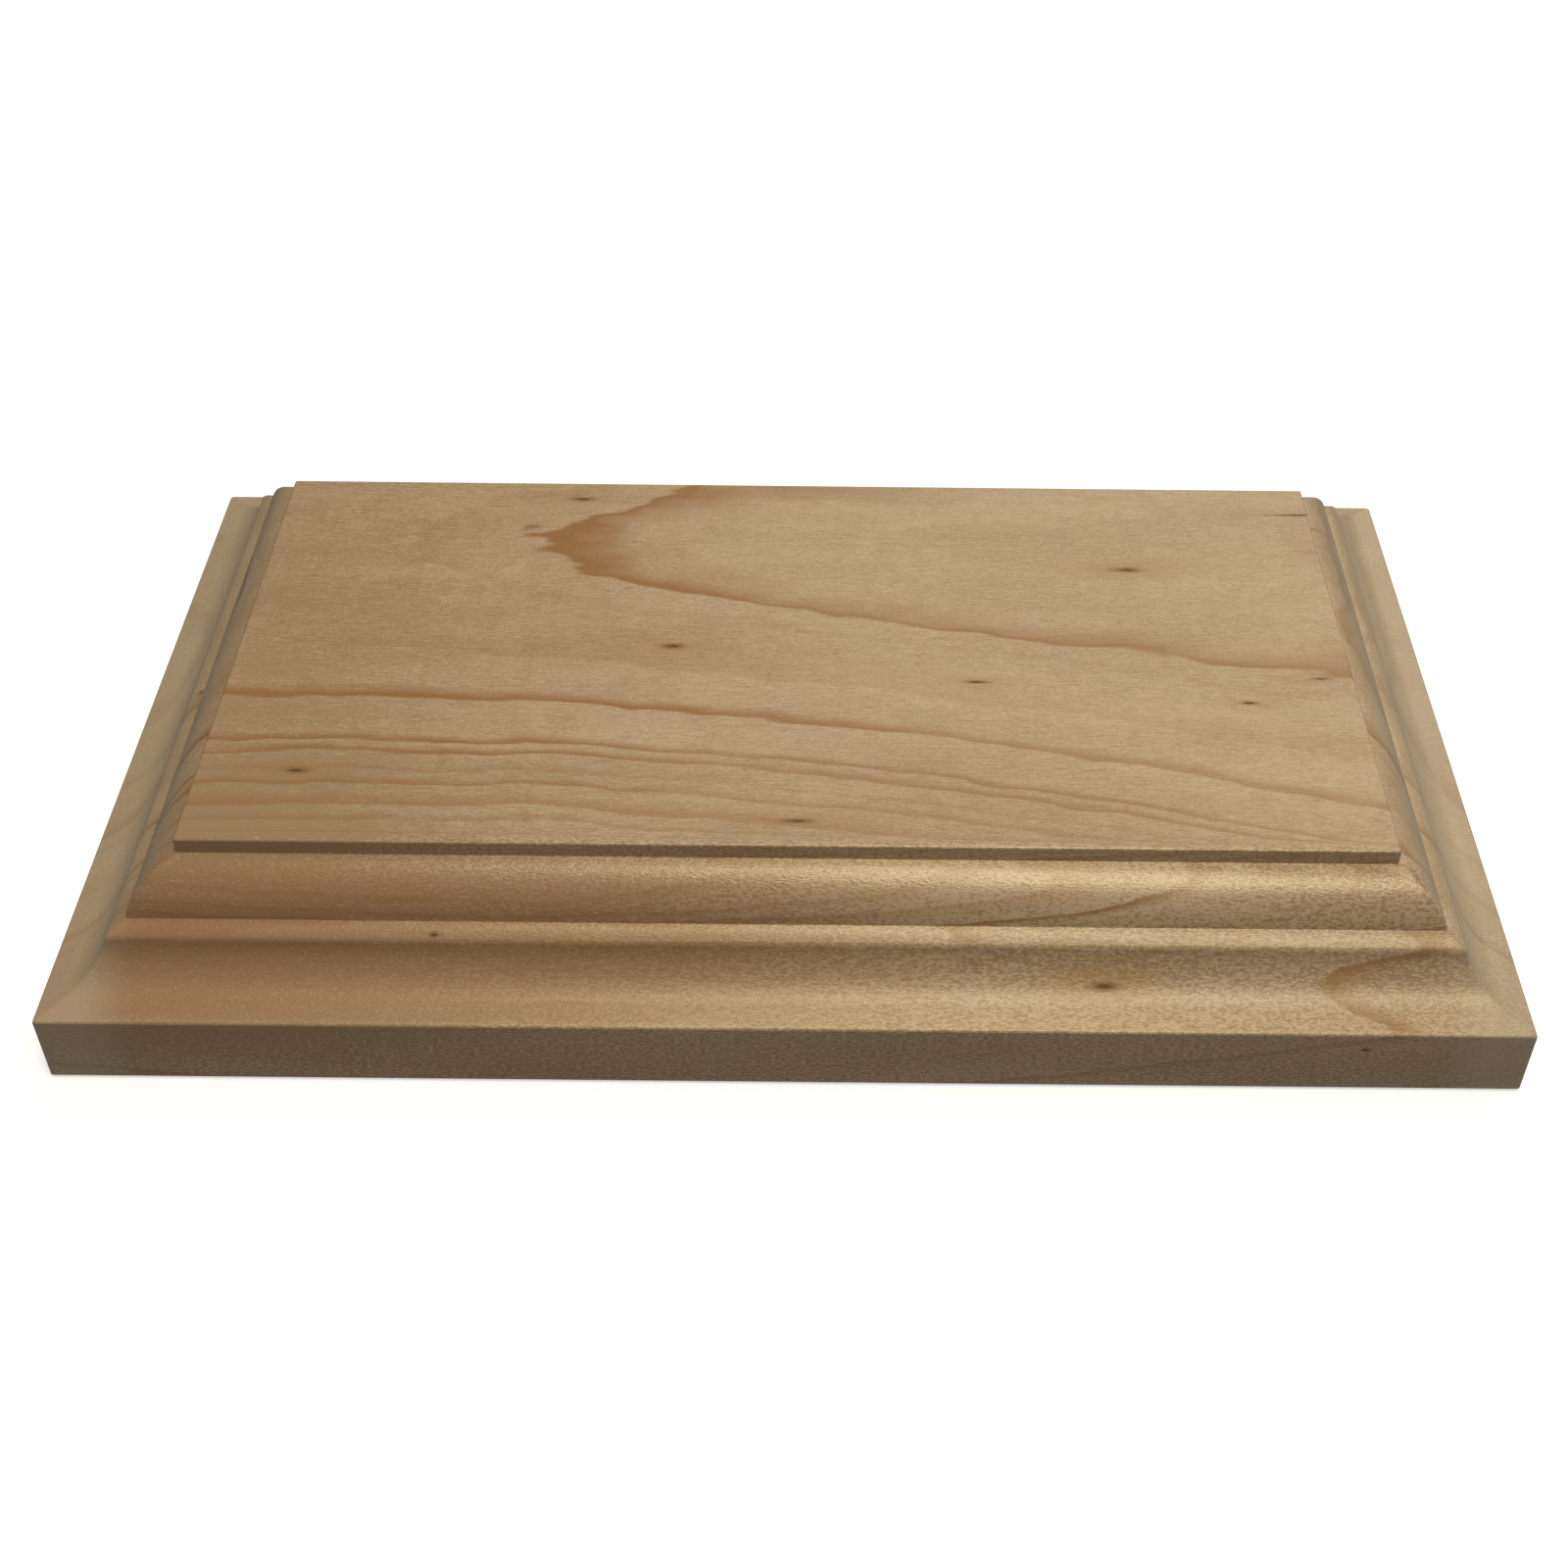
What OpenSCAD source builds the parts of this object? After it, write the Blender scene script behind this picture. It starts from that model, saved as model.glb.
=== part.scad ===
// Moulded wooden plaque: one solid board with a raised panel, hung on two
// screwed-in keyhole plates, with four rubber pads let into its underside.
// +X runs along the board, +Y to its top edge when it hangs, +Z out of the
// panel. The origin is under the middle, on the surface that the pads meet.

/* [Board] */
// Length of the board
board_l = 178; // [170:1:230]
// Width of the board
board_w = 103; // [100:1:150]
// Thickness of the board, from its underside to the panel
board_t = 25; // [24:0.5:30]

/* [Moulding] */
// Height of the square edge
edge_h = 10.1; // [9:0.1:11]
// Width of the sloping land inside the square edge
land_w = 2.9; // [2:0.1:4]
// Rise of the sloping land
land_rise = 0.8; // [0.4:0.1:1]
// Width of the cove
cove_w = 4.85; // [4.5:0.05:5.2]
// Rise of the cove
cove_rise = 5.3; // [5:0.1:5.5]
// Radius of the cove
cove_r = 6.7; // [6:0.1:8]
// Width of the bead above the cove
bead_w = 2.2; // [1.8:0.1:2.6]
// Rise of the bead
bead_rise = 1.15; // [0.9:0.05:1.2]
// Radius of the bead
bead_r = 4.8; // [3.5:0.1:8]
// Width of the quarter-round under the panel
ovolo_w = 5.65; // [5.3:0.05:6]
// Rise of the quarter-round
ovolo_rise = 5.45; // [5:0.05:5.5]
// Radius of the quarter-round
ovolo_r = 6.9; // [6:0.1:9]

/* [Keyhole plates] */
// Distance between the two plates
plate_spacing = 101.6; // [80:0.1:110]
// Distance from the board's middle to a plate's middle, towards the top edge
plate_y = 20; // [0:1:22]
// Length of a plate, over its round ends
plate_l = 44; // [43:1:50]
// Width of a plate
plate_w = 16; // [15:0.5:18]
// Thickness of a plate
plate_t = 1.5; // [1.3:0.1:2]
// Radius of the hole that the wall screw's head goes through
entry_r = 4.5; // [4.2:0.1:4.8]
// Width of the slot that the wall screw's shank slides up
slot_w = 4.6; // [4.2:0.1:5]
// How far the plaque drops on to the wall screw
slot_travel = 12; // [11:0.5:12.5]
// Depth of the pocket behind a plate
pocket_depth = 6; // [4.5:0.5:8]

/* [Plate screws] */
// Radius of a screw's head
head_r = 2.75; // [2.6:0.05:3]
// Radius of a screw's shank
shank_r = 1.45; // [1.3:0.05:1.5]
// Length of a screw
screw_l = 12; // [10:0.5:16]
// Distance between the two screws of a plate
screw_spacing = 33; // [32:0.5:34]

/* [Pads] */
// Radius of a pad
pad_r = 6; // [4:0.5:7]
// Thickness of a pad
pad_t = 1.3; // [1:0.1:2]
// How far a pad stands out of the board
pad_proud = 0.3; // [0.2:0.1:0.6]
// Distance from the board's edges to a pad's centre
pad_inset = 11; // [9:0.5:14]

/* [Hidden] */

// Corners of the moulding, as [inwards from the edge, up from the underside]
edge_top = [0, edge_h];
cove_foot = edge_top + [land_w, land_rise];
bead_foot = cove_foot + [cove_w, cove_rise];
ovolo_foot = bead_foot + [bead_w, bead_rise];
panel_foot = ovolo_foot + [ovolo_w, ovolo_rise];

// Gap round a piece that is let into the board
let_in_gap = 0.1;
// Clearance of a screw's shank in the hole that it goes through
shank_gap = 0.05;
// Gap beside the wall screw's head in the pocket
pocket_gap = 0.7;
pocket_r = entry_r + pocket_gap;

// The screw's head is a 90 degree cone
head_h = head_r - shank_r;
point_h = 2.5;
point_r = 0.2;
recess_l = 3.2;
recess_w = 0.7;
recess_depth = 0.9;

// The keyhole's travel is centred on its plate
entry_y = -slot_travel / 2;
pad_x = board_l / 2 - pad_inset;
pad_y = board_w / 2 - pad_inset;
// How far a cutter runs past a face
past = 1;

// Points along the arc of radius r from p to q. The arc's centre is on the left
// of the line from p to q when side is 1, and on its right when side is -1.
function arc_points(p, q, r, side, steps) =
    let (
        chord = q - p,
        half = norm(chord) / 2,
        normal = [-chord[1], chord[0]] / norm(chord),
        centre = (p + q) / 2 + side * sqrt(r * r - half * half) * normal,
        turn = side * 2 * asin(half / r),
        start = p - centre
    )
    [for (i = [0:steps])
        let (a = turn * i / steps)
        centre + [
            start[0] * cos(a) - start[1] * sin(a),
            start[0] * sin(a) + start[1] * cos(a)
        ]
    ];

// The moulding, from the top of the square edge up to the panel
moulding = concat(
    [edge_top],
    arc_points(cove_foot, bead_foot, cove_r, 1, 12),
    arc_points(bead_foot, ovolo_foot, bead_r, -1, 5),
    arc_points(ovolo_foot, panel_foot, ovolo_r, -1, 12),
    [[panel_foot[0], board_t]]
);

// The board's cross-section, standing on its underside
module section(width) {
    translate([-width / 2, 0])
    polygon(concat(
        [[0, 0], [width, 0]],
        [for (p = moulding) [width - p[0], p[1]]],
        [for (i = [len(moulding) - 1:-1:0]) moulding[i]]
    ));
}

// The moulding run along both sides and both ends, so that it meets in mitres
module moulded_block() {
    intersection() {
        rotate([90, 0, 90]) linear_extrude(board_l, center = true) section(board_w);
        rotate([90, 0, 0]) linear_extrude(board_w, center = true) section(board_l);
    }
}

// A round-ended outline along Y, between two end centres
module round_slot(y0, y1, r) {
    for (y = [y0, y1]) translate([0, y]) circle(r, $fn = 64);
    translate([-r, y0]) square([2 * r, y1 - y0]);
}

// A plate's outline, grown by gap
module plate_outline(gap = 0) {
    end_y = (plate_l - plate_w) / 2;
    round_slot(-end_y, end_y, plate_w / 2 + gap);
}

// Puts a piece at a plate's middle: side is -1 on the left, 1 on the right
module at_plate(side) {
    translate([side * plate_spacing / 2, plate_y, pad_proud]) children();
}

// Puts a piece at both screw places of a plate
module at_plate_screws() {
    for (end = [-1, 1]) translate([0, end * screw_spacing / 2, 0]) children();
}

// What is cut out of the board behind one plate
module plate_cuts() {
    translate([0, 0, -past]) linear_extrude(past + plate_t) plate_outline(let_in_gap);
    linear_extrude(plate_t + pocket_depth) round_slot(entry_y, -entry_y, pocket_r);
    at_plate_screws() cylinder(screw_l, r = shank_r + shank_gap, $fn = 32);
}

module plaque_board() {
    color("burlywood")
    difference() {
        translate([0, 0, pad_proud]) moulded_block();
        for (side = [-1, 1]) at_plate(side) plate_cuts();
        for (x = [-pad_x, pad_x], y = [-pad_y, pad_y])
            translate([x, y, -past]) cylinder(past + pad_t, r = pad_r + let_in_gap, $fn = 64);
    }
}

module keyhole_plate(side) {
    color("silver")
    at_plate(side)
    difference() {
        linear_extrude(plate_t) plate_outline();
        translate([0, entry_y, -past]) cylinder(plate_t + 2 * past, r = entry_r, $fn = 64);
        translate([0, 0, -past]) linear_extrude(plate_t + 2 * past)
            round_slot(entry_y, -entry_y, slot_w / 2);
        at_plate_screws() {
            translate([0, 0, -past]) cylinder(plate_t + 2 * past, r = shank_r + shank_gap, $fn = 32);
            cylinder(head_h, r1 = head_r, r2 = shank_r, $fn = 32);
        }
    }
}

module plate_screw(side, end) {
    color("silver")
    at_plate(side)
    translate([0, end * screw_spacing / 2, 0])
    difference() {
        rotate_extrude($fn = 32) polygon([
            [0, 0], [head_r, 0], [shank_r, head_h], [shank_r, screw_l - point_h],
            [point_r, screw_l], [0, screw_l]
        ]);
        for (turn = [0, 90]) rotate([0, 0, turn])
            translate([-recess_l / 2, -recess_w / 2, -past])
                cube([recess_l, recess_w, recess_depth + past]);
    }
}

module rubber_pad(side, end) {
    color("dimgray")
    translate([side * pad_x, end * pad_y, 0]) cylinder(pad_t, r = pad_r, $fn = 64);
}

plaque_board();
keyhole_plate(-1);  // keyhole_plate_left
keyhole_plate(1);  // keyhole_plate_right
plate_screw(-1, -1);  // plate_screw_left_lower
plate_screw(-1, 1);  // plate_screw_left_upper
plate_screw(1, -1);  // plate_screw_right_lower
plate_screw(1, 1);  // plate_screw_right_upper
rubber_pad(-1, -1);  // rubber_pad_front_left
rubber_pad(1, -1);  // rubber_pad_front_right
rubber_pad(-1, 1);  // rubber_pad_back_left
rubber_pad(1, 1);  // rubber_pad_back_right
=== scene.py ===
"""A moulded wooden plaque: one board of light hardwood with a stepped, mitred moulding
round a flat raised panel. Two keyhole plates and four rubber pads are let into its back."""

import math

import bpy
import mathutils
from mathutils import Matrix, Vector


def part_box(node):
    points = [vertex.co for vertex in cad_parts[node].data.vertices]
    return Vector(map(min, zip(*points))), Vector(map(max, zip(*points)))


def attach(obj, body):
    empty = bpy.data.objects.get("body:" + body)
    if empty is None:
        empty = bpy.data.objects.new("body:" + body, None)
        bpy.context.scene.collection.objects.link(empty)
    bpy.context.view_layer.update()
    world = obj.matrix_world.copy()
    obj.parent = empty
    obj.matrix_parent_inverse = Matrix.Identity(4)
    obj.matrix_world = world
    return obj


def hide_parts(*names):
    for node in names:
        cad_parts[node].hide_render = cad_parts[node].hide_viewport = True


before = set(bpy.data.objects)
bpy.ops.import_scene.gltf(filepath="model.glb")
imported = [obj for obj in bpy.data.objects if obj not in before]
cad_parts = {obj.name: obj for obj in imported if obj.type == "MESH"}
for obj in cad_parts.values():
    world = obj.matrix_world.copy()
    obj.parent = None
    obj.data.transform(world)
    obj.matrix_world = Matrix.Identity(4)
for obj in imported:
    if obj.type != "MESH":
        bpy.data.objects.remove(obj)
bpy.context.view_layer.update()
MM = 0.001


# --- The board -------------------------------------------------------------------------
# One flat-sawn board of a light, close-grained hardwood. The moulding was run along all
# four edges on a spindle moulder, so that it meets in mitres, then sanded and lacquered.


class Wire:
    """A node's output. Arithmetic on it adds Math nodes to the tree that it is in."""

    def __init__(self, graph, socket):
        self.graph = graph
        self.socket = socket

    def __add__(self, other):
        return self.graph.math("ADD", self, other)

    def __radd__(self, other):
        return self.graph.math("ADD", other, self)

    def __sub__(self, other):
        return self.graph.math("SUBTRACT", self, other)

    def __rsub__(self, other):
        return self.graph.math("SUBTRACT", other, self)

    def __mul__(self, other):
        return self.graph.math("MULTIPLY", self, other)

    def __rmul__(self, other):
        return self.graph.math("MULTIPLY", other, self)

    def __truediv__(self, other):
        return self.graph.math("DIVIDE", self, other)

    def __rtruediv__(self, other):
        return self.graph.math("DIVIDE", other, self)

    def __pow__(self, other):
        return self.graph.math("POWER", self, other)


class Graph:
    """A node tree in the making."""

    def __init__(self, tree):
        self.tree = tree

    def add(self, kind, settings=None, inputs=None, output=0):
        """Adds a node, sets it up, then joins its sockets or gives them their values."""
        node = self.tree.nodes.new(kind)
        for name, value in (settings or {}).items():
            setattr(node, name, value)
        for key, value in (inputs or {}).items():
            for one in value if isinstance(value, list) else [value]:
                if isinstance(one, Wire):
                    self.tree.links.new(one.socket, node.inputs[key])
                else:
                    node.inputs[key].default_value = one
        return Wire(self, node.outputs[output])

    def math(self, operation, first, second=0.0):
        return self.add("ShaderNodeMath", {"operation": operation}, {0: first, 1: second})

    def split(self, vector):
        """The three numbers of a vector."""
        node = self.add("ShaderNodeSeparateXYZ", None, {0: vector}).socket.node
        return [Wire(self, out) for out in node.outputs]

    def step(self, value, start, end, low=0.0, high=1.0):
        """Goes smoothly from low to high as the value goes from start to end."""
        inputs = {0: value, 1: start, 2: end, 3: low, 4: high}
        return self.add("ShaderNodeMapRange", {"interpolation_type": "SMOOTHSTEP"}, inputs)


# Points nearer than this are one point
SEAM = 0.001 * MM


def arc_middle(start, end, radius, side):
    """The middle of the arc from start to end, with its centre on the left when side is 1."""
    across, up = end[0] - start[0], end[1] - start[1]
    chord = math.hypot(across, up)
    bulge = side * (radius - math.sqrt(radius**2 - chord**2 / 4))
    return (
        (start[0] + end[0]) / 2 + bulge * up / chord,
        (start[1] + end[1]) / 2 - bulge * across / chord,
    )


class Shaper(Graph):
    """A Geometry Nodes tree with named inputs, which ends in one material."""

    def __init__(self, name, stock=None):
        super().__init__(bpy.data.node_groups.new(name, "GeometryNodeTree"))
        self.values = {}
        self.stock = stock
        new_socket = self.tree.interface.new_socket
        new_socket("Geometry", in_out="OUTPUT", socket_type="NodeSocketGeometry")
        if stock:
            new_socket("Stock", in_out="INPUT", socket_type="NodeSocketGeometry")
            self.worked = Wire(self, self.tree.nodes.new("NodeGroupInput").outputs[0])
        self.material = self.named("Material", "NodeSocketMaterial", None)

    def named(self, name, kind, value):
        """A named input of the tree, and the value that the piece gives it."""
        item = self.tree.interface.new_socket(name, in_out="INPUT", socket_type=kind)
        self.values[item.identifier] = value
        entry = self.tree.nodes.new("NodeGroupInput")
        return Wire(self, next(s for s in entry.outputs if s.identifier == item.identifier))

    def size(self, name, metres):
        return self.named(name, "NodeSocketFloat", metres)

    def spot(self, name, place):
        return self.named(name, "NodeSocketVector", place)

    def vector(self, x=0.0, y=0.0, z=0.0):
        return self.add("ShaderNodeCombineXYZ", None, {0: x, 1: y, 2: z})

    def moved(self, geometry, place, turn=(0.0, 0.0, 0.0)):
        settings = {"Geometry": geometry, "Translation": place, "Rotation": turn}
        return self.add("GeometryNodeTransform", None, settings)

    def joined(self, parts):
        return self.add("GeometryNodeJoinGeometry", None, {0: parts})

    def captured(self, geometry, vector):
        """Holds a vector on the geometry's points, and returns both."""
        node = self.tree.nodes.new("GeometryNodeCaptureAttribute")
        node.capture_items.new("VECTOR", "Held")
        self.tree.links.new(geometry.socket, node.inputs[0])
        self.tree.links.new(vector.socket, node.inputs[1])
        return Wire(self, node.outputs[0]), Wire(self, node.outputs[1])

    def arc(self, name, start, end, radius, side, pieces):
        """The arc from start to end, with its centre on the left when side is 1."""
        middle = arc_middle(start, end, radius, side)
        ends = {
            "Start": self.spot(name + " start", (*start, 0.0)),
            "Middle": self.spot(name + " middle", (*middle, 0.0)),
            "End": self.spot(name + " end", (*end, 0.0)),
        }
        arc = {"Resolution": pieces + 1, **ends}
        return self.add("GeometryNodeCurveArc", {"mode": "POINTS"}, arc)

    def outline(self, curves, corners):
        """One line through the arcs' points and the corners, in the order that they rise."""
        points = {"mode": "EVALUATED"}
        parts = [self.add("GeometryNodeCurveToPoints", points, {0: curve}) for curve in curves]
        parts += [self.add("GeometryNodePoints", None, {"Position": corner}) for corner in corners]
        apart = self.welded(self.joined(parts))
        x, y, _ = self.split(self.add("GeometryNodeInputPosition"))
        return self.add("GeometryNodePointsToCurves", None, {"Points": apart, "Weight": x + y})

    def run_round(self, outline, path):
        """The outline run round a closed path, with the place on each of them."""
        place = self.add("GeometryNodeInputPosition")
        outline, across = self.captured(outline, place)
        path, along = self.captured(path, place)
        curves = {"Curve": path, "Profile Curve": outline}
        mesh = self.add("GeometryNodeCurveToMesh", None, curves)
        return mesh, self.split(across), self.split(along)

    def held(self, geometry, name, domain, value):
        """Stores a number under a name on the geometry's points, edges or faces."""
        settings = {"data_type": "FLOAT", "domain": domain}
        inputs = {0: geometry, "Name": name, 3: value}
        return self.add("GeometryNodeStoreNamedAttribute", settings, inputs)

    def disc(self, radius, top, bottom, sides=64):
        """A round plug standing on the height bottom."""
        plug = {"Vertices": sides, "Radius": radius, "Depth": top - bottom}
        mesh = self.add("GeometryNodeMeshCylinder", None, plug)
        return self.moved(mesh, self.vector(0.0, 0.0, (top + bottom) / 2))

    def oblong(self, radius, reach, top, bottom):
        """A round-ended plug along Y, whose end centres are at reach from its middle."""
        plug = self.disc(radius, top, bottom)
        ends = [self.moved(plug, self.vector(0.0, way * reach)) for way in (-1, 1)]
        return self.add("GeometryNodeConvexHull", None, {0: self.joined(ends)})

    def cut(self, stock, cutters):
        settings = {"operation": "DIFFERENCE", "solver": "EXACT"}
        return self.add("GeometryNodeMeshBoolean", settings, {0: stock, 1: cutters})

    def smoothed(self, geometry):
        smooth = {"Geometry": geometry, "Shade Smooth": True}
        return self.add("GeometryNodeSetShadeSmooth", None, smooth)

    def creased(self, geometry, angle):
        """Shades the faces smooth, apart from edges that turn by more than the angle."""
        fold = self.add("GeometryNodeInputMeshEdgeAngle")
        sharp = self.math("GREATER_THAN", fold, angle)
        crease = {"Geometry": self.smoothed(geometry), "Selection": sharp, "Shade Smooth": False}
        return self.add("GeometryNodeSetShadeSmooth", {"domain": "EDGE"}, crease)

    def welded(self, geometry):
        """Merges the points that lie on each other."""
        return self.add("GeometryNodeMergeByDistance", None, {0: geometry, 2: SEAM})

    def piece(self, name, geometry, material, finish=()):
        """Ends the tree, runs it on its stock and keeps the result as a plain mesh."""
        real = self.add("GeometryNodeRealizeInstances", None, {0: geometry})
        painted = {"Geometry": real, "Material": self.material}
        done = self.add("GeometryNodeSetMaterial", None, painted)
        end = self.tree.nodes.new("NodeGroupOutput")
        self.tree.links.new(done.socket, end.inputs[0])
        blank = self.stock
        if not blank:
            blank_name = name + "_blank"
            blank = bpy.data.objects.new(blank_name, bpy.data.meshes.new(blank_name))
            bpy.context.scene.collection.objects.link(blank)
        nodes = blank.modifiers.new("shape", "NODES")
        nodes.node_group = self.tree
        for identifier, value in self.values.items():
            nodes[identifier] = material if value is None else value
        for kind, settings in finish:
            modifier = blank.modifiers.new(kind.lower(), kind)
            for key, value in settings.items():
                setattr(modifier, key, value)
        bpy.context.view_layer.update()
        made = blank.evaluated_get(bpy.context.evaluated_depsgraph_get())
        piece = bpy.data.objects.new(name, bpy.data.meshes.new_from_object(made))
        piece.data.name = name
        blank.modifiers.clear()
        bpy.data.objects.remove(blank)
        bpy.context.scene.collection.objects.link(piece)
        return piece


low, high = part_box("plaque_board")
board = Shaper("moulded_board")
length = board.size("Length", high.x - low.x)
width = board.size("Width", high.y - low.y)
underside = board.size("Underside", low.z)
panel_top = board.size("Panel top", high.z)

# The moulding's corners, inwards from the edge and up from the pads' feet
EDGE_TOP = (0.0, low.z + 10.1 * MM)
COVE_FOOT = (2.9 * MM, low.z + 10.9 * MM)
BEAD_FOOT = (7.75 * MM, low.z + 16.2 * MM)
OVOLO_FOOT = (9.95 * MM, low.z + 17.35 * MM)
PANEL_FOOT = (15.6 * MM, low.z + 22.8 * MM)
moulding = board.outline(
    [
        board.arc("Cove", COVE_FOOT, BEAD_FOOT, 6.7 * MM, 1, 16),
        board.arc("Bead", BEAD_FOOT, OVOLO_FOOT, 4.8 * MM, -1, 6),
        board.arc("Ovolo", OVOLO_FOOT, PANEL_FOOT, 6.9 * MM, -1, 16),
    ],
    [
        board.vector(0.0, underside),
        board.spot("Edge top", (*EDGE_TOP, 0.0)),
        board.vector(PANEL_FOOT[0], panel_top),
    ],
)
# The moulding is run round a square from -1 to 1, then sent out to the board's own sides
square = {"Width": 2.0, "Height": 2.0}
rectangle = board.add("GeometryNodeCurvePrimitiveQuadrilateral", None, square)
sides, (inwards, rise, _), (right, back, _) = board.run_round(moulding, rectangle)
place = board.vector(right * (length / 2 - inwards), back * (width / 2 - inwards), rise)
sides = board.add("GeometryNodeSetPosition", None, {"Geometry": sides, "Position": place})
sides = board.add("GeometryNodeFlipFaces", None, {0: sides})


def filled(graph, length, width, height):
    """A flat rectangle at that height, facing up."""
    size = {"Width": length, "Height": width}
    curve = graph.add("GeometryNodeCurvePrimitiveQuadrilateral", None, size)
    face = graph.add("GeometryNodeFillCurve", {"mode": "NGONS"}, {0: curve})
    return graph.moved(face, graph.vector(0.0, 0.0, height))


panel = filled(board, length - 2 * PANEL_FOOT[0], width - 2 * PANEL_FOOT[0], panel_top)
back_face = board.add("GeometryNodeFlipFaces", None, {0: filled(board, length, width, underside)})
block = board.welded(board.joined([sides, panel, back_face]))

# Sanding has eased the arrises, the hollow ones less than the proud ones
EASED = 0.3 * MM
HOLLOW_SHARE = 0.3
ARRIS = math.radians(12)
fold = board.add("GeometryNodeInputMeshEdgeAngle", None, None, 1)
proud = board.math("GREATER_THAN", fold, ARRIS)
hollow = board.math("LESS_THAN", fold, -ARRIS)
block = board.held(block, "bevel_weight_edge", "EDGE", proud + HOLLOW_SHARE * hollow)
easing = {"width": EASED, "segments": 3, "limit_method": "WEIGHT", "use_clamp_overlap": False}
solid_block = board.piece("solid_block", board.smoothed(block), None, [("BEVEL", easing)])

# The back is routed for the keyhole plates and the heads behind them, drilled for the
# plates' screws, and bored for the pads
plate_low, plate_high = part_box("keyhole_plate_right")
pad_low, pad_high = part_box("rubber_pad_back_right")
plate_size = plate_high - plate_low
plate_middle = (plate_low + plate_high) / 2
pad_middle = (pad_low + pad_high) / 2
CREASE = math.radians(35)
LET_IN_GAP = 0.1 * MM
PAST = 1.0 * MM
ENTRY_RADIUS = 4.5 * MM
SLOT_WIDTH = 4.6 * MM
SLOT_TRAVEL = 12.0 * MM
SCREW_SPACING = 33.0 * MM
POCKET_DEPTH = 6.0 * MM
POCKET_RADIUS = ENTRY_RADIUS + 0.7 * MM
PILOT_RADIUS = 1.3 * MM
PILOT_DEPTH = 12.5 * MM

back_cuts = Shaper("back_cuts", solid_block)
plate_x = back_cuts.size("Plate place along", plate_middle.x)
plate_y = back_cuts.size("Plate place across", plate_middle.y)
plate_radius = back_cuts.size("Plate end radius", plate_size.x / 2)
plate_reach = back_cuts.size("Plate reach", (plate_size.y - plate_size.x) / 2)
plate_back = back_cuts.size("Plate recess top", plate_high.z)
pocket_radius = back_cuts.size("Pocket radius", POCKET_RADIUS)
pocket_reach = back_cuts.size("Pocket reach", SLOT_TRAVEL / 2)
pocket_top = back_cuts.size("Pocket top", plate_high.z + POCKET_DEPTH)
pad_radius = back_cuts.size("Pad radius", (pad_high.x - pad_low.x) / 2)
pad_x = back_cuts.size("Pad place along", pad_middle.x)
pad_y = back_cuts.size("Pad place across", pad_middle.y)
pad_top = back_cuts.size("Pad recess top", pad_high.z)
recess = back_cuts.oblong(plate_radius + LET_IN_GAP, plate_reach, plate_back, -PAST)
pocket = back_cuts.oblong(pocket_radius, pocket_reach, pocket_top, 0.0)
pilot = back_cuts.disc(PILOT_RADIUS, low.z + PILOT_DEPTH, 0.0, 24)
plate_cuts = [recess, pocket]
plate_cuts += [back_cuts.moved(pilot, (0.0, way * SCREW_SPACING / 2, 0.0)) for way in (-1, 1)]
bore = back_cuts.disc(pad_radius + LET_IN_GAP, pad_top, -PAST)
cutters = []
for side in (-1, 1):
    plate_place = back_cuts.vector(side * plate_x, plate_y)
    cutters += [back_cuts.moved(cut, plate_place) for cut in plate_cuts]
    for way in (-1, 1):
        cutters.append(back_cuts.moved(bore, back_cuts.vector(side * pad_x, way * pad_y)))
routed = back_cuts.creased(back_cuts.cut(back_cuts.worked, cutters), CREASE)


class Finish(Graph):
    """A material that is worked out from the place on its piece, in millimetres."""

    def __init__(self, name, middle=(0.0, 0.0, 0.0)):
        self.material = bpy.data.materials.new(name)
        self.material.use_nodes = True
        super().__init__(self.material.node_tree)
        self.tree.nodes.clear()
        self.shader = self.tree.nodes.new("ShaderNodeBsdfPrincipled")
        end = self.tree.nodes.new("ShaderNodeOutputMaterial")
        self.tree.links.new(self.shader.outputs[0], end.inputs["Surface"])
        self.coordinates = self.tree.nodes.new("ShaderNodeTexCoord")
        inputs = {"Vector": Wire(self, self.coordinates.outputs["Object"])}
        inputs["Location"] = tuple(-c / MM for c in middle)
        inputs["Scale"] = (1 / MM, 1 / MM, 1 / MM)
        self.place = self.add("ShaderNodeMapping", None, inputs)

    def stretched(self, sizes, seed=0.0):
        """The place on the piece, measured in figures of these sizes."""
        inputs = {"Vector": self.place, "Scale": tuple(1 / size for size in sizes)}
        return self.add("ShaderNodeMapping", None, {**inputs, "Location": (seed, seed, seed)})

    def noise(self, sizes, detail=2.0, seed=0.0):
        """Noise from -1 to 1, with figures of these sizes."""
        inputs = {"Vector": self.stretched(sizes, seed), "Scale": 1.0, "Detail": detail}
        noise = self.add("ShaderNodeTexNoise", None, {**inputs, "Roughness": 0.55})
        return noise * 2.0 - 1.0

    def vectors(self, operation, first, second=(0.0, 0.0, 0.0), output=0):
        inputs = {0: first, 1: second}
        return self.add("ShaderNodeVectorMath", {"operation": operation}, inputs, output)

    def blend(self, share, first, second):
        """A colour that goes from first to second as the share goes from 0 to 1."""
        first, second = [c if isinstance(c, Wire) else (*c, 1.0) for c in (first, second)]
        return self.add("ShaderNodeMix", {"data_type": "RGBA"}, {0: share, 6: first, 7: second}, 2)

    def set(self, **values):
        """Sets the shader's own sockets, by their names with _ for each space."""
        for name, value in values.items():
            socket = self.shader.inputs[name.replace("_", " ")]
            if isinstance(value, Wire):
                self.tree.links.new(value.socket, socket)
            else:
                socket.default_value = value

    def relief(self, height, depth):
        """Raises the surface by the height, which is in units of the depth."""
        inputs = {"Height": height, "Distance": depth, "Strength": 1.0}
        self.set(Normal=self.add("ShaderNodeBump", None, inputs))


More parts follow.
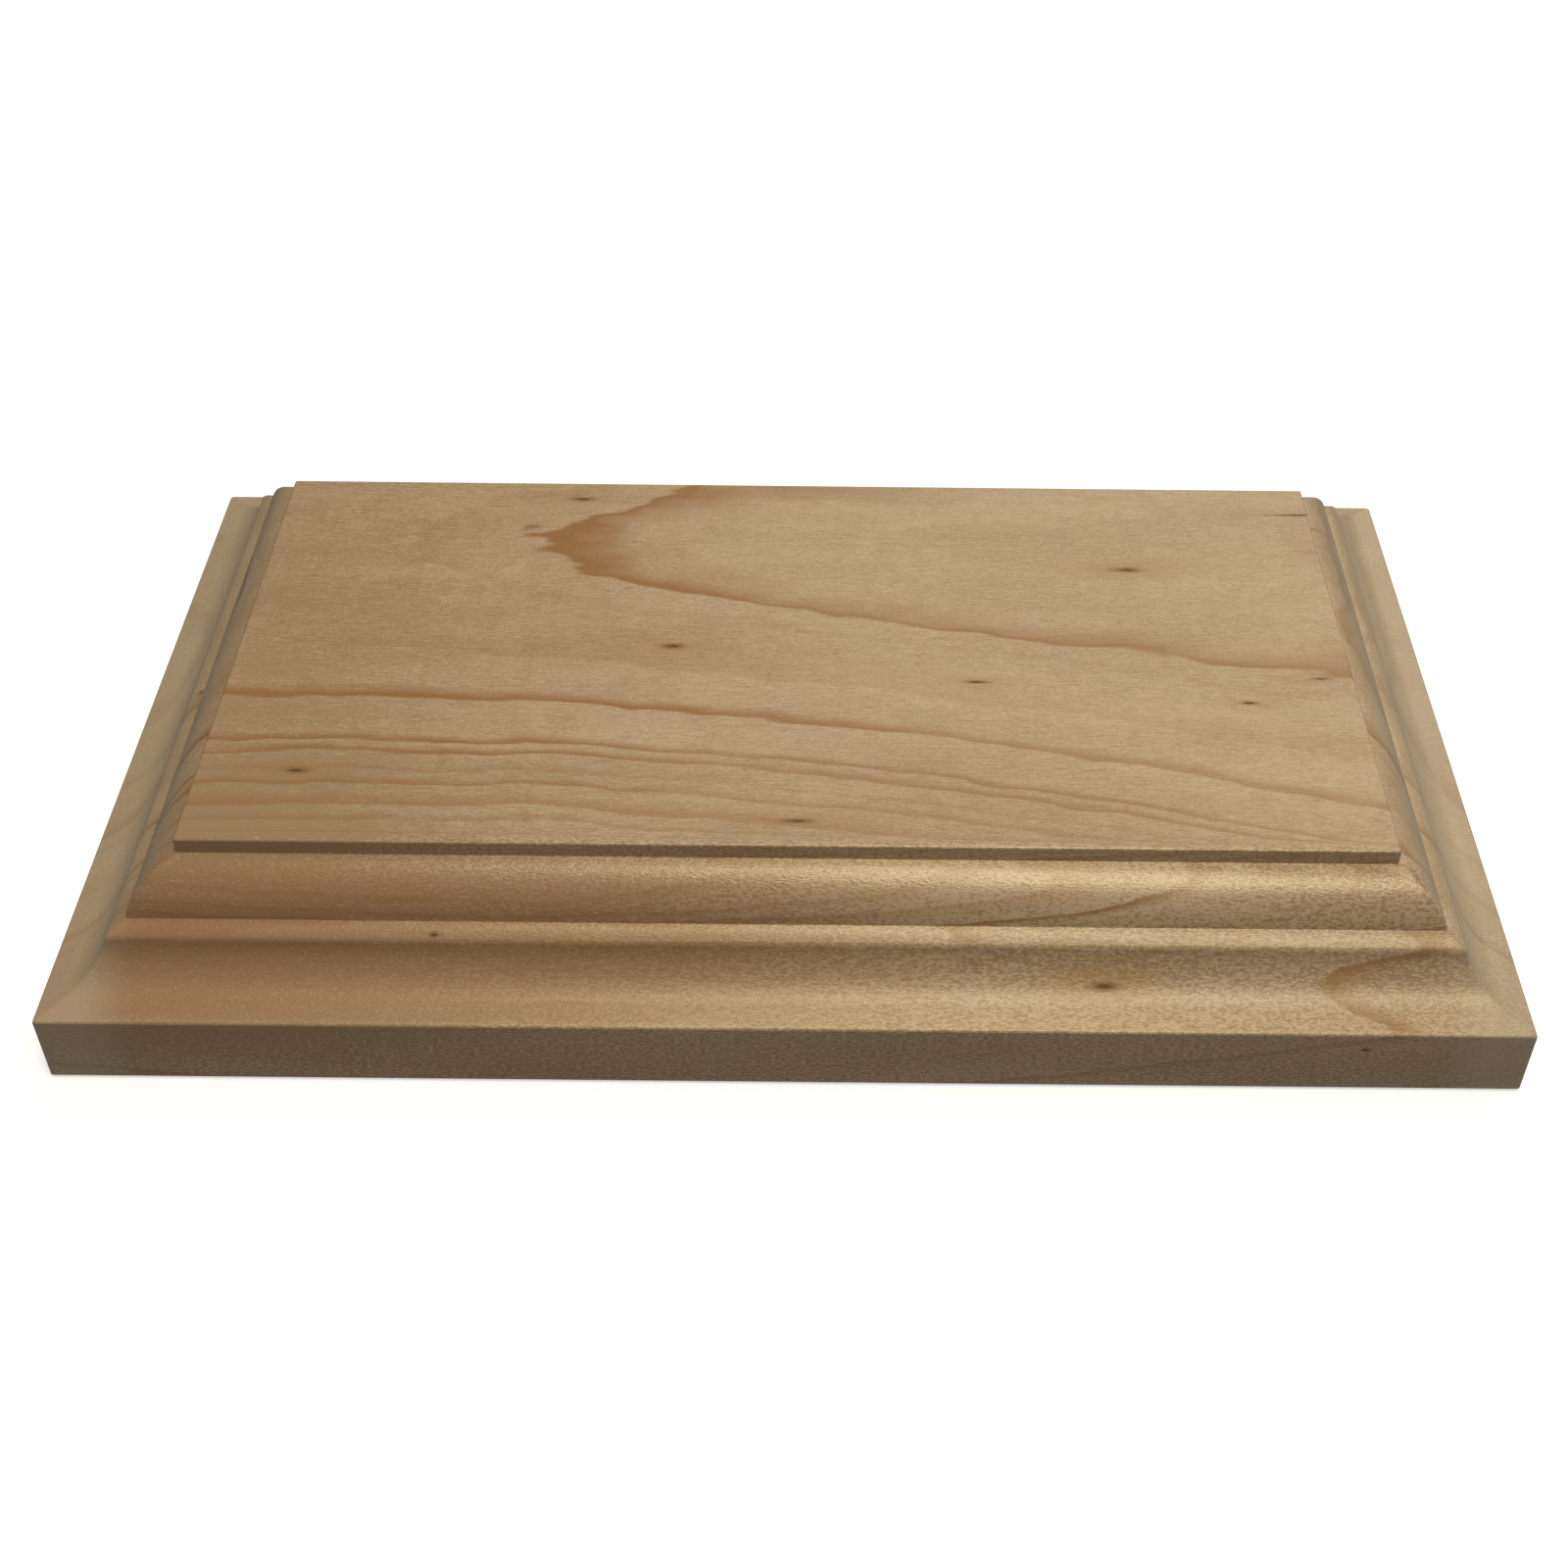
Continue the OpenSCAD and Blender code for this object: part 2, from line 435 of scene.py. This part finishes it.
# The wood: pale sapwood with darker late-wood lines. The rings are shells about a pith
# line that lies below and behind the board and dips along it, so that the panel shows
# one cathedral and the lines that run in front of it. Places are in millimetres, from
# the foot of the middle of the front face.
wood = Finish("lacquered_sapwood", (0.0, low.y, low.z))
x, y, z = wood.split(wood.place)

# Where one part of the front moulding gives way to the next
EDGE_TO_LAND = (0.0, 1.0)
COVE_TO_BEAD = (7.0, 9.5)
BEAD_TO_ROUND = (9.0, 11.0)
COVE_TO_ROUND = (8.5, 10.0)
ROUND_TO_PANEL = (11.0, 16.0)
PANEL_TO_ROUND = (17.0, 13.0)
PANEL_TO_MOULDING = (17.0, 15.5)
PANEL_RIM = (15.4, 17.5)

# How far the rings have dipped at each place along the board. They are nipped in near the
# cathedral's point.
PITH_SPAN = 50.0
along = x / PITH_SPAN
dip = 2.33 + 1.80 * along - 1.84 * along * along
NIP_PLACE = -29.5
NIP_SQUARE = 80.0
from_nip = x - NIP_PLACE
dip = dip - 0.38 * wood.step(from_nip * from_nip, 0.0, NIP_SQUARE, 1.0, 0.0)

# How far each place is across the grain from the cathedral's middle line, which swings
# forwards at both ends and leans back at the point. Behind the line the shells flatten.
LEAN = 3.5
FLATTENED = 12.0
FLATTENING = 2.0
lean = LEAN * wood.step(x, -28.0, -46.0) * wood.step(y, 45.0, 62.0)
across = y - (73.2 - 3.16 * along - 5.8 * along * along) - lean
flattened = {0: across, 1: FLATTENED, 2: FLATTENING}
across = wood.add("ShaderNodeMath", {"operation": "SMOOTH_MIN"}, flattened)

# The cathedral opens out towards the right, and the lines lean where they cross the
# panel's step
OPENING = 1.7
STEP_FOOT = 17.4
STEP_SLANT = 0.5
opening = OPENING * wood.step(x, 18.0, 70.0) * wood.step(across, -4.0, 8.0)
slant = STEP_SLANT * wood.math("MAXIMUM", z - STEP_FOOT, 0.0)
opening = opening - slant * wood.step(y, *PANEL_RIM, 1.0, 0.0)

# Each place's growth ring: a hyperbola over the pith, with waves of two sizes
PITH_DEPTH = 30.0
PITH_SLOPE = 0.78
wander = 0.80 * wood.noise((15.0, 4.5, 4.5)) + 0.12 * wood.noise((6.0, 1.3, 1.3), seed=7.0)
shell = PITH_SLOPE * (across * across + PITH_DEPTH**2) ** 0.5
ring = z - dip * (0.5 + 0.02 * z) + shell - opening + wander

# Each line of late wood: where it is, how wide it is, and how dark it is in the front
# cove, on the quarter-round above it and on the panel
LATE_WOOD = [
    (26.5, 1.6, 0.5, 0.5, 0.5),
    (30.6, 1.2, 0.6, 0.6, 0.6),
    (35.4, 1.8, 0.7, 0.7, 0.7),
    (39.8, 1.1, 0.5, 0.5, 0.5),
    (44.0, 1.7, 0.6, 0.6, 0.6),
    (48.4, 2.0, 0.8, 0.8, 0.90),
    (48.4, 0.35, 0.3, 0.3, 0.35),
    (50.0, 0.7, 0.2, 0.2, 0.2),
    (54.8, 4.5, 0.2, 0.2, 0.22),
    (59.2, 1.8, 1.0, 0.6, 0.95),
    (63.7, 1.0, 0.2, 0.2, 0.90),
    (64.95, 1.1, 0.1, 0.15, 0.85),
    (66.9, 0.9, 0.1, 0.1, 0.28),
    (68.4, 1.1, 0.1, 1.0, 0.55),
    (71.0, 2.4, 0.1, 0.4, 0.50),
    (72.6, 0.9, 0.2, 0.4, 0.35),
    (74.6, 1.0, 0.3, 0.3, 0.3),
]
LINE_END = 0.22
dark = 0.0
for edge, breadth, cove_depth, round_depth, panel_depth in LATE_WOOD:
    growth = wood.step(ring, edge - breadth, edge)
    strength = wood.step(y, *COVE_TO_BEAD, cove_depth, round_depth)
    strength = wood.step(y, *ROUND_TO_PANEL, strength, panel_depth)
    dark = dark + wood.step(ring, edge, edge + LINE_END, 1.0, 0.0) * growth * growth * strength
patchy = wood.step(wood.noise((26.0, 7.0, 7.0), seed=3.0), -0.7, 0.5, 0.60, 1.1)
dark = dark * patchy * wood.step(x, -50.0, 60.0, 1.2, 0.85)
dark = dark * wood.step(y, *EDGE_TO_LAND, 0.5, 1.0)

# Vessels and fine streaks along the grain, and slow changes from patch to patch. The
# moulding is cut across the fibres, so it is the more mottled.
streaks = wood.noise((7.0, 0.32, 0.32), 3.0, 11.0)
vessels = wood.step(wood.noise((1.7, 0.11, 0.11), 1.0, 5.0), 0.28, 0.62)
patches = wood.noise((50.0, 9.0, 9.0), seed=17.0)
ripple = wood.noise((2.6, 8.0, 8.0), 1.0, 23.0)
fibres = wood.noise((2.2, 0.16, 0.16), seed=13.0)
mottle = wood.noise((0.6, 0.3, 0.3), seed=19.0)
moulded = wood.step(y, *PANEL_TO_MOULDING)
# Painted shade: the wood is darkened towards the left end, and over the later rings towards the
# front left
painted_left_shade = wood.step(ring, 60.5, 70.0) * wood.step(x, 0.0, -60.0) + 0.6 * wood.step(x, -35.0, -72.0)
# Painted highlight: the quarter-round is made paler where the ceiling light's highlight falls on
# it
bright = wood.step(x, -5.0, 25.0) * wood.step(x, 62.0, 45.0) * wood.step(y, *BEAD_TO_ROUND)
reddened = wood.step(x, 35.0, -30.0) * wood.step(y, *PANEL_TO_ROUND) * wood.step(y, *EDGE_TO_LAND)
tone = 0.5 + 0.35 * streaks + 0.60 * patches + 0.15 * ripple + 0.65 * fibres
tone = tone + (0.75 + 1.60 * moulded) * mottle - 0.45 * painted_left_shade + 0.5 * bright * moulded

DEEP_WOOD = (0.252, 0.158, 0.083)
PALE_WOOD = (0.388, 0.272, 0.168)
RED_WOOD = (0.232, 0.113, 0.050)
LATE_LINE = (0.212, 0.094, 0.024)
OPEN_VESSEL = (0.17, 0.088, 0.034)
colour = wood.blend(tone, DEEP_WOOD, PALE_WOOD)
colour = wood.blend(reddened * 0.60, colour, RED_WOOD)
colour = wood.blend(dark * 0.95, colour, LATE_LINE)
colour = wood.blend(vessels * 0.22, colour, OPEN_VESSEL)

# Pin knots and bark flecks: middle, size, and how wide the stain round each one is. The
# last two are on the back.
FLECKS = [
    ((-31.0, 83.5, 25.0), (1.7, 0.42, 9.0), 0.8),
    ((46.0, 68.5, 25.0), (2.0, 0.45, 9.0), 1.0),
    ((-16.0, 51.5, 25.0), (1.6, 0.5, 9.0), 0.7),
    ((24.0, 45.0, 25.0), (1.5, 0.3, 9.0), 0.6),
    ((59.0, 41.5, 25.0), (1.2, 0.28, 9.0), 0.6),
    ((69.0, 46.3, 25.0), (1.3, 0.25, 9.0), 0.5),
    ((-61.0, 27.5, 25.0), (1.6, 0.5, 9.0), 0.7),
    ((1.0, 19.7, 25.0), (1.9, 0.32, 9.0), 0.5),
    ((72.0, 81.4, 25.0), (3.8, 0.22, 9.0), 0.3),
    ((38.0, 5.3, 13.0), (1.7, 0.4, 4.0), 0.8),
    ((-42.0, 8.4, 16.6), (0.6, 0.3, 1.0), 0.3),
    ((-79.6, 50.0, 17.0), (0.5, 0.5, 1.5), 0.3),
    ((69.0, 0.0, 7.4), (0.6, 0.6, 0.3), 0.2),
    ((21.0, 37.0, 0.0), (1.7, 0.4, 5.0), 0.8),
    ((-34.0, 61.0, 0.0), (1.5, 0.4, 5.0), 0.7),
]
FLECK_GROWTH = 0.62
ragged = {0: wood.noise((1.0, 0.3, 0.3), 1.0, 29.0) * 0.7, 1: streaks * 0.12}
frayed = wood.vectors("ADD", wood.place, wood.add("ShaderNodeCombineXYZ", None, ragged))
knot, core, stain = 0.0, 0.0, 0.0
for middle, size, halo in FLECKS:
    apart = wood.vectors("SUBTRACT", frayed, middle)
    scaled = wood.vectors("MULTIPLY", apart, tuple(FLECK_GROWTH / length for length in size))
    reach = wood.vectors("LENGTH", scaled, output=1)
    knot = knot + wood.step(reach, 0.15, 1.15, 1.0, 0.0)
    core = core + wood.step(reach, 0.05, 0.50, 1.0, 0.0)
    stain = stain + wood.step(reach, 0.3, 4.2, halo, 0.0)

STAIN = (0.25, 0.125, 0.030)
BARK = (0.130, 0.055, 0.010)
BARK_CORE = (0.040, 0.012, 0.002)
colour = wood.blend(stain * 0.50, colour, STAIN)
colour = wood.blend(knot * 0.80, colour, BARK)
colour = wood.blend(core * 0.95, colour, BARK_CORE)

# End grain is greyer, with open pores; on the faces that turn towards the ends the grey is partly
# painted cool shade. Near the two ends the wood is paler and greyer: a painted reflection
SHADED_END_GRAIN = (0.295, 0.232, 0.163)
END_PORE = (0.215, 0.166, 0.116)
END_LINE = (0.120, 0.070, 0.032)
END_REFLECTION_GREY = (0.375, 0.298, 0.208)
REFLECTION_START, REFLECTION_FULL = 77.0, 84.0
facing = wood.split(Wire(wood, wood.coordinates.outputs["Normal"]))[0]
# Partly end grain, partly painted shade on the faces that turn towards the ends
end_grain_and_shade = wood.step(facing * facing, 0.02, 0.75)
pores = wood.step(wood.noise((0.9, 0.16, 0.16), seed=31.0), -0.1, 0.6)
colour = wood.blend(end_grain_and_shade * 0.8, colour, wood.blend(pores, SHADED_END_GRAIN, END_PORE))
colour = wood.blend(end_grain_and_shade * dark * 0.5, colour, END_LINE)
# Painted reflection: the wood is made paler and greyer near the two ends
painted_end_reflection = wood.step(x * x, REFLECTION_START**2, REFLECTION_FULL**2, 0.0, 0.45)
colour = wood.blend(painted_end_reflection, colour, END_REFLECTION_GREY)

# A thin satin lacquer, duller in the cove than on the quarter-round, over open grain.
# The wood's own lustre warms the shine.
SATIN = 0.33
GRAIN_DEPTH = 0.010 * MM
speckle = wood.noise((0.55, 0.22, 0.22), seed=37.0)
polish = wood.step(y, *COVE_TO_ROUND, 0.05, -0.06) * moulded
gloss = SATIN + 0.09 * speckle + 0.04 * streaks + polish
gloss = gloss + 0.10 * end_grain_and_shade + 0.10 * vessels + 0.30 * knot
wood.set(Base_Color=colour, Roughness=gloss, Coat_Weight=0.10, Coat_Roughness=0.24)
wood.set(Specular_Tint=(1.0, 0.86, 0.62, 1.0))
wood.relief(0.6 * streaks + 2.2 * speckle - 0.9 * vessels - 0.7 * knot, GRAIN_DEPTH)

# The edges shade as they were sanded, and the flat faces stay flat
flat_shading = [("WEIGHTED_NORMAL", {"keep_sharp": True})]
moulded_board = back_cuts.piece("moulded_board", routed, wood.material, flat_shading)
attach(moulded_board, "root")
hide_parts("plaque_board")


# --- The keyhole plates ----------------------------------------------------------------
# Two round-ended plates, blanked from sheet steel in a press and zinc plated. Each is
# let in flush behind the board, and hangs on a wall screw whose head goes through its
# round hole and up behind its slot.

# The countersunk holes in the plates take a screw with this head and shank
HEAD_RADIUS = 2.75 * MM
SHANK_RADIUS = 1.45 * MM
HEAD_HEIGHT = HEAD_RADIUS - SHANK_RADIUS
SINK_PAST = 0.2 * MM
BORE_GAP = 0.05 * MM
RUBBED_ZINC = (0.40, 0.39, 0.37)


def plated(name, dull, bright, roughness):
    """Zinc plating between two tones, with the cloudy spangle and rubs of handling."""
    zinc = Finish(name)
    cells = {"Vector": zinc.stretched((2.6, 2.6, 2.6)), "Scale": 1.0}
    spangle = zinc.split(zinc.add("ShaderNodeTexVoronoi", None, cells, 1))[0]
    cloud = zinc.noise((5.0, 5.0, 5.0), 4.0)
    drawn = zinc.noise((0.12, 9.0, 1.0), 2.0, 3.0)
    rubbed = zinc.step(zinc.noise((2.0, 2.0, 2.0), 4.0, 9.0), 0.1, 0.7)
    plating = zinc.blend(0.35 + 0.3 * cloud + 0.3 * spangle, dull, bright)
    plating = zinc.blend(rubbed * 0.35, plating, RUBBED_ZINC)
    zinc.set(Base_Color=plating, Metallic=1.0, Roughness=roughness + 0.07 * cloud + 0.10 * rubbed)
    zinc.relief(0.6 * drawn + 0.5 * cloud, 0.02 * MM)
    return zinc.material


plate_zinc = plated("zinc_plated_plate", (0.50, 0.51, 0.52), (0.68, 0.69, 0.70), 0.34)
blanked = {"width": 0.14 * MM, "segments": 2, "limit_method": "ANGLE", "angle_limit": CREASE}
BLANKED_EDGE = [("BEVEL", blanked), ("WEIGHTED_NORMAL", {"keep_sharp": True})]
for side, name in ((-1, "left"), (1, "right")):
    plate = Shaper("keyhole_plate_" + name)
    place = plate.spot("Middle", (side * plate_middle.x, plate_middle.y, 0.0))
    top = plate.size("Top", plate_high.z)
    bottom = plate.size("Bottom", plate_low.z)
    radius = plate.size("End radius", plate_size.x / 2)
    reach = plate.size("Reach", (plate_size.y - plate_size.x) / 2)
    travel = plate.size("Slot travel", SLOT_TRAVEL)
    entry = plate.size("Entry radius", ENTRY_RADIUS)
    slot_half = plate.size("Slot half width", SLOT_WIDTH / 2)
    spacing = plate.size("Screw spacing", SCREW_SPACING)
    blank = plate.oblong(radius, reach, top, bottom)
    hole = plate.disc(entry, top + PAST, bottom - PAST)
    hole = plate.moved(hole, plate.vector(0.0, travel * -0.5))
    slot = plate.oblong(slot_half, travel * 0.5, top + PAST, bottom - PAST)
    cone = {"Vertices": 48, "Radius Top": SHANK_RADIUS, "Radius Bottom": HEAD_RADIUS + SINK_PAST}
    sink = plate.add("GeometryNodeMeshCone", None, {**cone, "Depth": HEAD_HEIGHT + SINK_PAST})
    sink = plate.moved(sink, plate.vector(0.0, 0.0, bottom - SINK_PAST))
    bore = plate.disc(SHANK_RADIUS + BORE_GAP, top + PAST, bottom - PAST, 48)
    holes = [hole, slot]
    for way in (-1, 1):
        for tool in (sink, bore):
            holes.append(plate.moved(tool, plate.vector(0.0, spacing * (way / 2))))
    pressed = plate.creased(plate.moved(plate.cut(blank, holes), place), CREASE)
    keyhole_plate = plate.piece("pressed_plate_" + name, pressed, plate_zinc, BLANKED_EDGE)
    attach(keyhole_plate, "root")
    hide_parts("keyhole_plate_" + name)


# --- The plates' screws ----------------------------------------------------------------
# Four countersunk steel wood screws, zinc plated, with a rolled thread and a cross
# recess. Two hold each plate, driven into pilot holes above and below its slot.

PITCH = 1.15 * MM
POINT_LENGTH = 2.5 * MM
NECK = 0.5 * MM
WING_LENGTH = 3.2 * MM
WING_WIDTH = 0.7 * MM
WING_TAPER = 0.55
RECESS_DEPTH = 0.9 * MM
THREAD_SHARE = 0.30
TURNS_AHEAD = 20.0
SCREW_CREASE = math.radians(38)
ROUND = 36
RISES = 190

screw_zinc = plated("zinc_plated_screw", (0.44, 0.43, 0.40), (0.66, 0.64, 0.58), 0.28)
for name in ("left_lower", "left_upper", "right_lower", "right_upper"):
    screw_low, screw_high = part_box("plate_screw_" + name)
    screw = Shaper("wood_screw_" + name)
    middle = (screw_low + screw_high) / 2
    place = screw.spot("Place of the head", (middle.x, middle.y, screw_low.z))
    screw_length = screw.size("Length", screw_high.z - screw_low.z)
    head = screw.size("Head radius", HEAD_RADIUS)
    shank = screw.size("Shank radius", SHANK_RADIUS)
    pitch = screw.size("Pitch", PITCH)
    grid = {"Size X": 1.0, "Size Y": 1.0, "Vertices X": ROUND + 1, "Vertices Y": RISES + 1}
    sheet = screw.add("GeometryNodeMeshGrid", None, grid)
    turn, run, _ = screw.split(screw.add("GeometryNodeInputPosition"))
    turn, run = turn + 0.5, (run + 0.5) * (screw_length + head)
    depth = screw.math("MAXIMUM", run - head, 0.0)
    tip = (screw_length - depth) * (SHANK_RADIUS / POINT_LENGTH)
    stem = screw.math("MINIMUM", shank, tip)
    crest = screw.math("PINGPONG", (depth / pitch - turn) * 2.0 + TURNS_AHEAD, 1.0)
    threaded = screw.math("GREATER_THAN", depth, HEAD_HEIGHT + NECK)
    stem = stem * (1.0 - THREAD_SHARE * threaded * crest)
    outer = screw.math("MAXIMUM", head - depth, stem)
    radius = screw.math("MINIMUM", run, outer)
    angle = turn * math.tau
    swept = [radius * screw.math("COSINE", angle), radius * screw.math("SINE", angle), depth]
    turned = {"Geometry": sheet, "Position": screw.vector(*swept)}
    turned = screw.welded(screw.add("GeometryNodeSetPosition", None, turned))
    turned = screw.add("GeometryNodeFlipFaces", None, {0: turned})
    corner = math.sqrt(0.5)
    tapered = {"Vertices": 4, "Radius Top": WING_TAPER * corner, "Radius Bottom": corner}
    wing = screw.add("GeometryNodeMeshCone", None, {**tapered, "Depth": RECESS_DEPTH})
    wing = screw.moved(wing, (0.0, 0.0, -0.02 * MM), (0.0, 0.0, math.radians(45)))
    stretch = {"Geometry": wing, "Scale": (WING_LENGTH, WING_WIDTH, 1.0)}
    wing = screw.add("GeometryNodeTransform", None, stretch)
    wings = [wing, screw.moved(wing, (0.0, 0.0, 0.0), (0.0, 0.0, math.radians(90)))]
    turned = screw.creased(screw.moved(screw.cut(turned, wings), place), SCREW_CREASE)
    plate_screw = screw.piece("wood_screw_" + name, turned, screw_zinc)
    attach(plate_screw, "root")
    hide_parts("plate_screw_" + name)


# --- The rubber pads -------------------------------------------------------------------
# Four round pads of moulded black rubber, glued into shallow bores near the corners.
# They stand a little proud, so that the board is level and doesn't mark a wall or shelf.

DISH_SHARE = 0.62
DISH_DEPTH = 0.14 * MM
rounded = {"width": 0.2 * MM, "segments": 3, "limit_method": "ANGLE", "angle_limit": CREASE}
PAD_EDGE = [("BEVEL", rounded), ("WEIGHTED_NORMAL", {"keep_sharp": True})]
RUBBER_BLACK = (0.018, 0.018, 0.019)
RUBBER_BLOOM = (0.050, 0.048, 0.045)

rubber = Finish("moulded_black_rubber")
bloom = rubber.step(rubber.noise((3.0, 3.0, 3.0), 4.0), -0.1, 0.8)
grit = rubber.noise((0.25, 0.25, 0.25), 2.0, 5.0)
skin = rubber.blend(bloom * 0.7, RUBBER_BLACK, RUBBER_BLOOM)
rubber.set(Base_Color=skin, Roughness=0.62 + 0.08 * grit + 0.12 * bloom)
rubber.relief(grit, 0.03 * MM)

for name in ("front_left", "front_right", "back_left", "back_right"):
    pad_low, pad_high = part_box("rubber_pad_" + name)
    pad = Shaper("rubber_pad_" + name)
    middle = (pad_low + pad_high) / 2
    place = pad.spot("Middle", (middle.x, middle.y, 0.0))
    radius = pad.size("Radius", (pad_high.x - pad_low.x) / 2)
    top = pad.size("Top", pad_high.z)
    bottom = pad.size("Bottom", pad_low.z)
    dish = pad.disc(radius * DISH_SHARE, bottom + DISH_DEPTH, bottom - PAST)
    moulded = pad.cut(pad.disc(radius, top, bottom), [dish])
    moulded = pad.creased(pad.moved(moulded, place), CREASE)
    rubber_pad = pad.piece("moulded_pad_" + name, moulded, rubber.material, PAD_EDGE)
    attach(rubber_pad, "root")
    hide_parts("rubber_pad_" + name)


# --- The studio ------------------------------------------------------------------------
# A plain pale floor under two soft lights: one hangs a little in front of the plaque, and
# one stands well behind it, both to its right. A dim light comes from all round.

FLOOR_REACH = 12.0
FLOOR_LEVEL = -0.02 * MM
floor_mesh = bpy.data.meshes.new("pale_floor")
corners = [(-1, -1), (1, -1), (1, 1), (-1, 1)]
corners = [(sx * FLOOR_REACH, sy * FLOOR_REACH, FLOOR_LEVEL) for sx, sy in corners]
floor_mesh.from_pydata(corners, [], [(0, 1, 2, 3)])
floor = bpy.data.objects.new("pale_floor", floor_mesh)
bpy.context.scene.collection.objects.link(floor)
paper = Finish("pale_paper")
paper.set(Base_Color=(0.55, 0.55, 0.55, 1.0), Roughness=0.9)
paper.set(Emission_Color=(1.0, 1.0, 1.0, 1.0), Emission_Strength=0.50)
floor_mesh.materials.append(paper.material)
floor.visible_diffuse = False
floor.visible_glossy = False

# The light from all round is stronger from above and from the right
AT_HORIZON, OVERHEAD = 0.20, 0.38
FROM_LEFT, FROM_RIGHT = 0.55, 1.10
sky = bpy.data.worlds.new("even_light")
sky.use_nodes = True
air = Graph(sky.node_tree)
heading = air.add("ShaderNodeTexCoord").socket.node.outputs["Generated"]
east, _, height = air.split(Wire(air, heading))
above = air.step(height, 0.0, 0.60, AT_HORIZON, OVERHEAD)
rightwards = air.step(east, -1.0, 0.5, FROM_LEFT, FROM_RIGHT)
glow = sky.node_tree.nodes["Background"]
air.tree.links.new((above * rightwards).socket, glow.inputs["Strength"])
glow.inputs["Color"].default_value = (0.96, 0.99, 1.05, 1.0)
bpy.context.scene.world = sky


def soft_light(name, spot, sides, power, tint):
    """A rectangular light that faces the plaque."""
    lamp = bpy.data.lights.new(name, "AREA")
    lamp.shape = "RECTANGLE"
    lamp.size, lamp.size_y = sides
    lamp.energy = power
    lamp.color = tint
    holder = bpy.data.objects.new(name, lamp)
    holder.location = spot
    aim = mathutils.Vector(spot) * -1.0
    holder.rotation_euler = aim.to_track_quat("-Z", "Y").to_euler()
    bpy.context.scene.collection.objects.link(holder)


soft_light("ceiling_light", (0.20, -0.32, 1.42), (0.48, 1.10), 19.0, (1.0, 0.96, 0.77))
soft_light("window_light", (0.58, 1.40, 1.15), (1.50, 1.20), 10.2, (1.0, 0.97, 0.82))

# The camera stands close in front, a little right of the middle, and looks down
AZIMUTH = math.radians(0.145)
ELEVATION = math.radians(39.585)
ROLL = math.radians(0.671)
EYE = (4.62 * MM, -206.36 * MM, 206.20 * MM)
view = bpy.data.cameras.new("camera")
view.sensor_width = 36.0
view.lens = 47.477
view.shift_x = -0.03125
view.shift_y = -0.125
view.clip_start = 0.01
view.clip_end = 60.0
camera = bpy.data.objects.new("camera", view)
camera.location = EYE
tilt = mathutils.Matrix.Rotation(math.pi / 2 - ELEVATION, 3, "X")
swing = mathutils.Matrix.Rotation(-AZIMUTH, 3, "Z")
roll = mathutils.Matrix.Rotation(ROLL, 3, "Z")
camera.rotation_euler = (swing @ tilt @ roll).to_euler()
bpy.context.scene.collection.objects.link(camera)
bpy.context.scene.camera = camera
bpy.context.scene.view_settings.view_transform = "Standard"
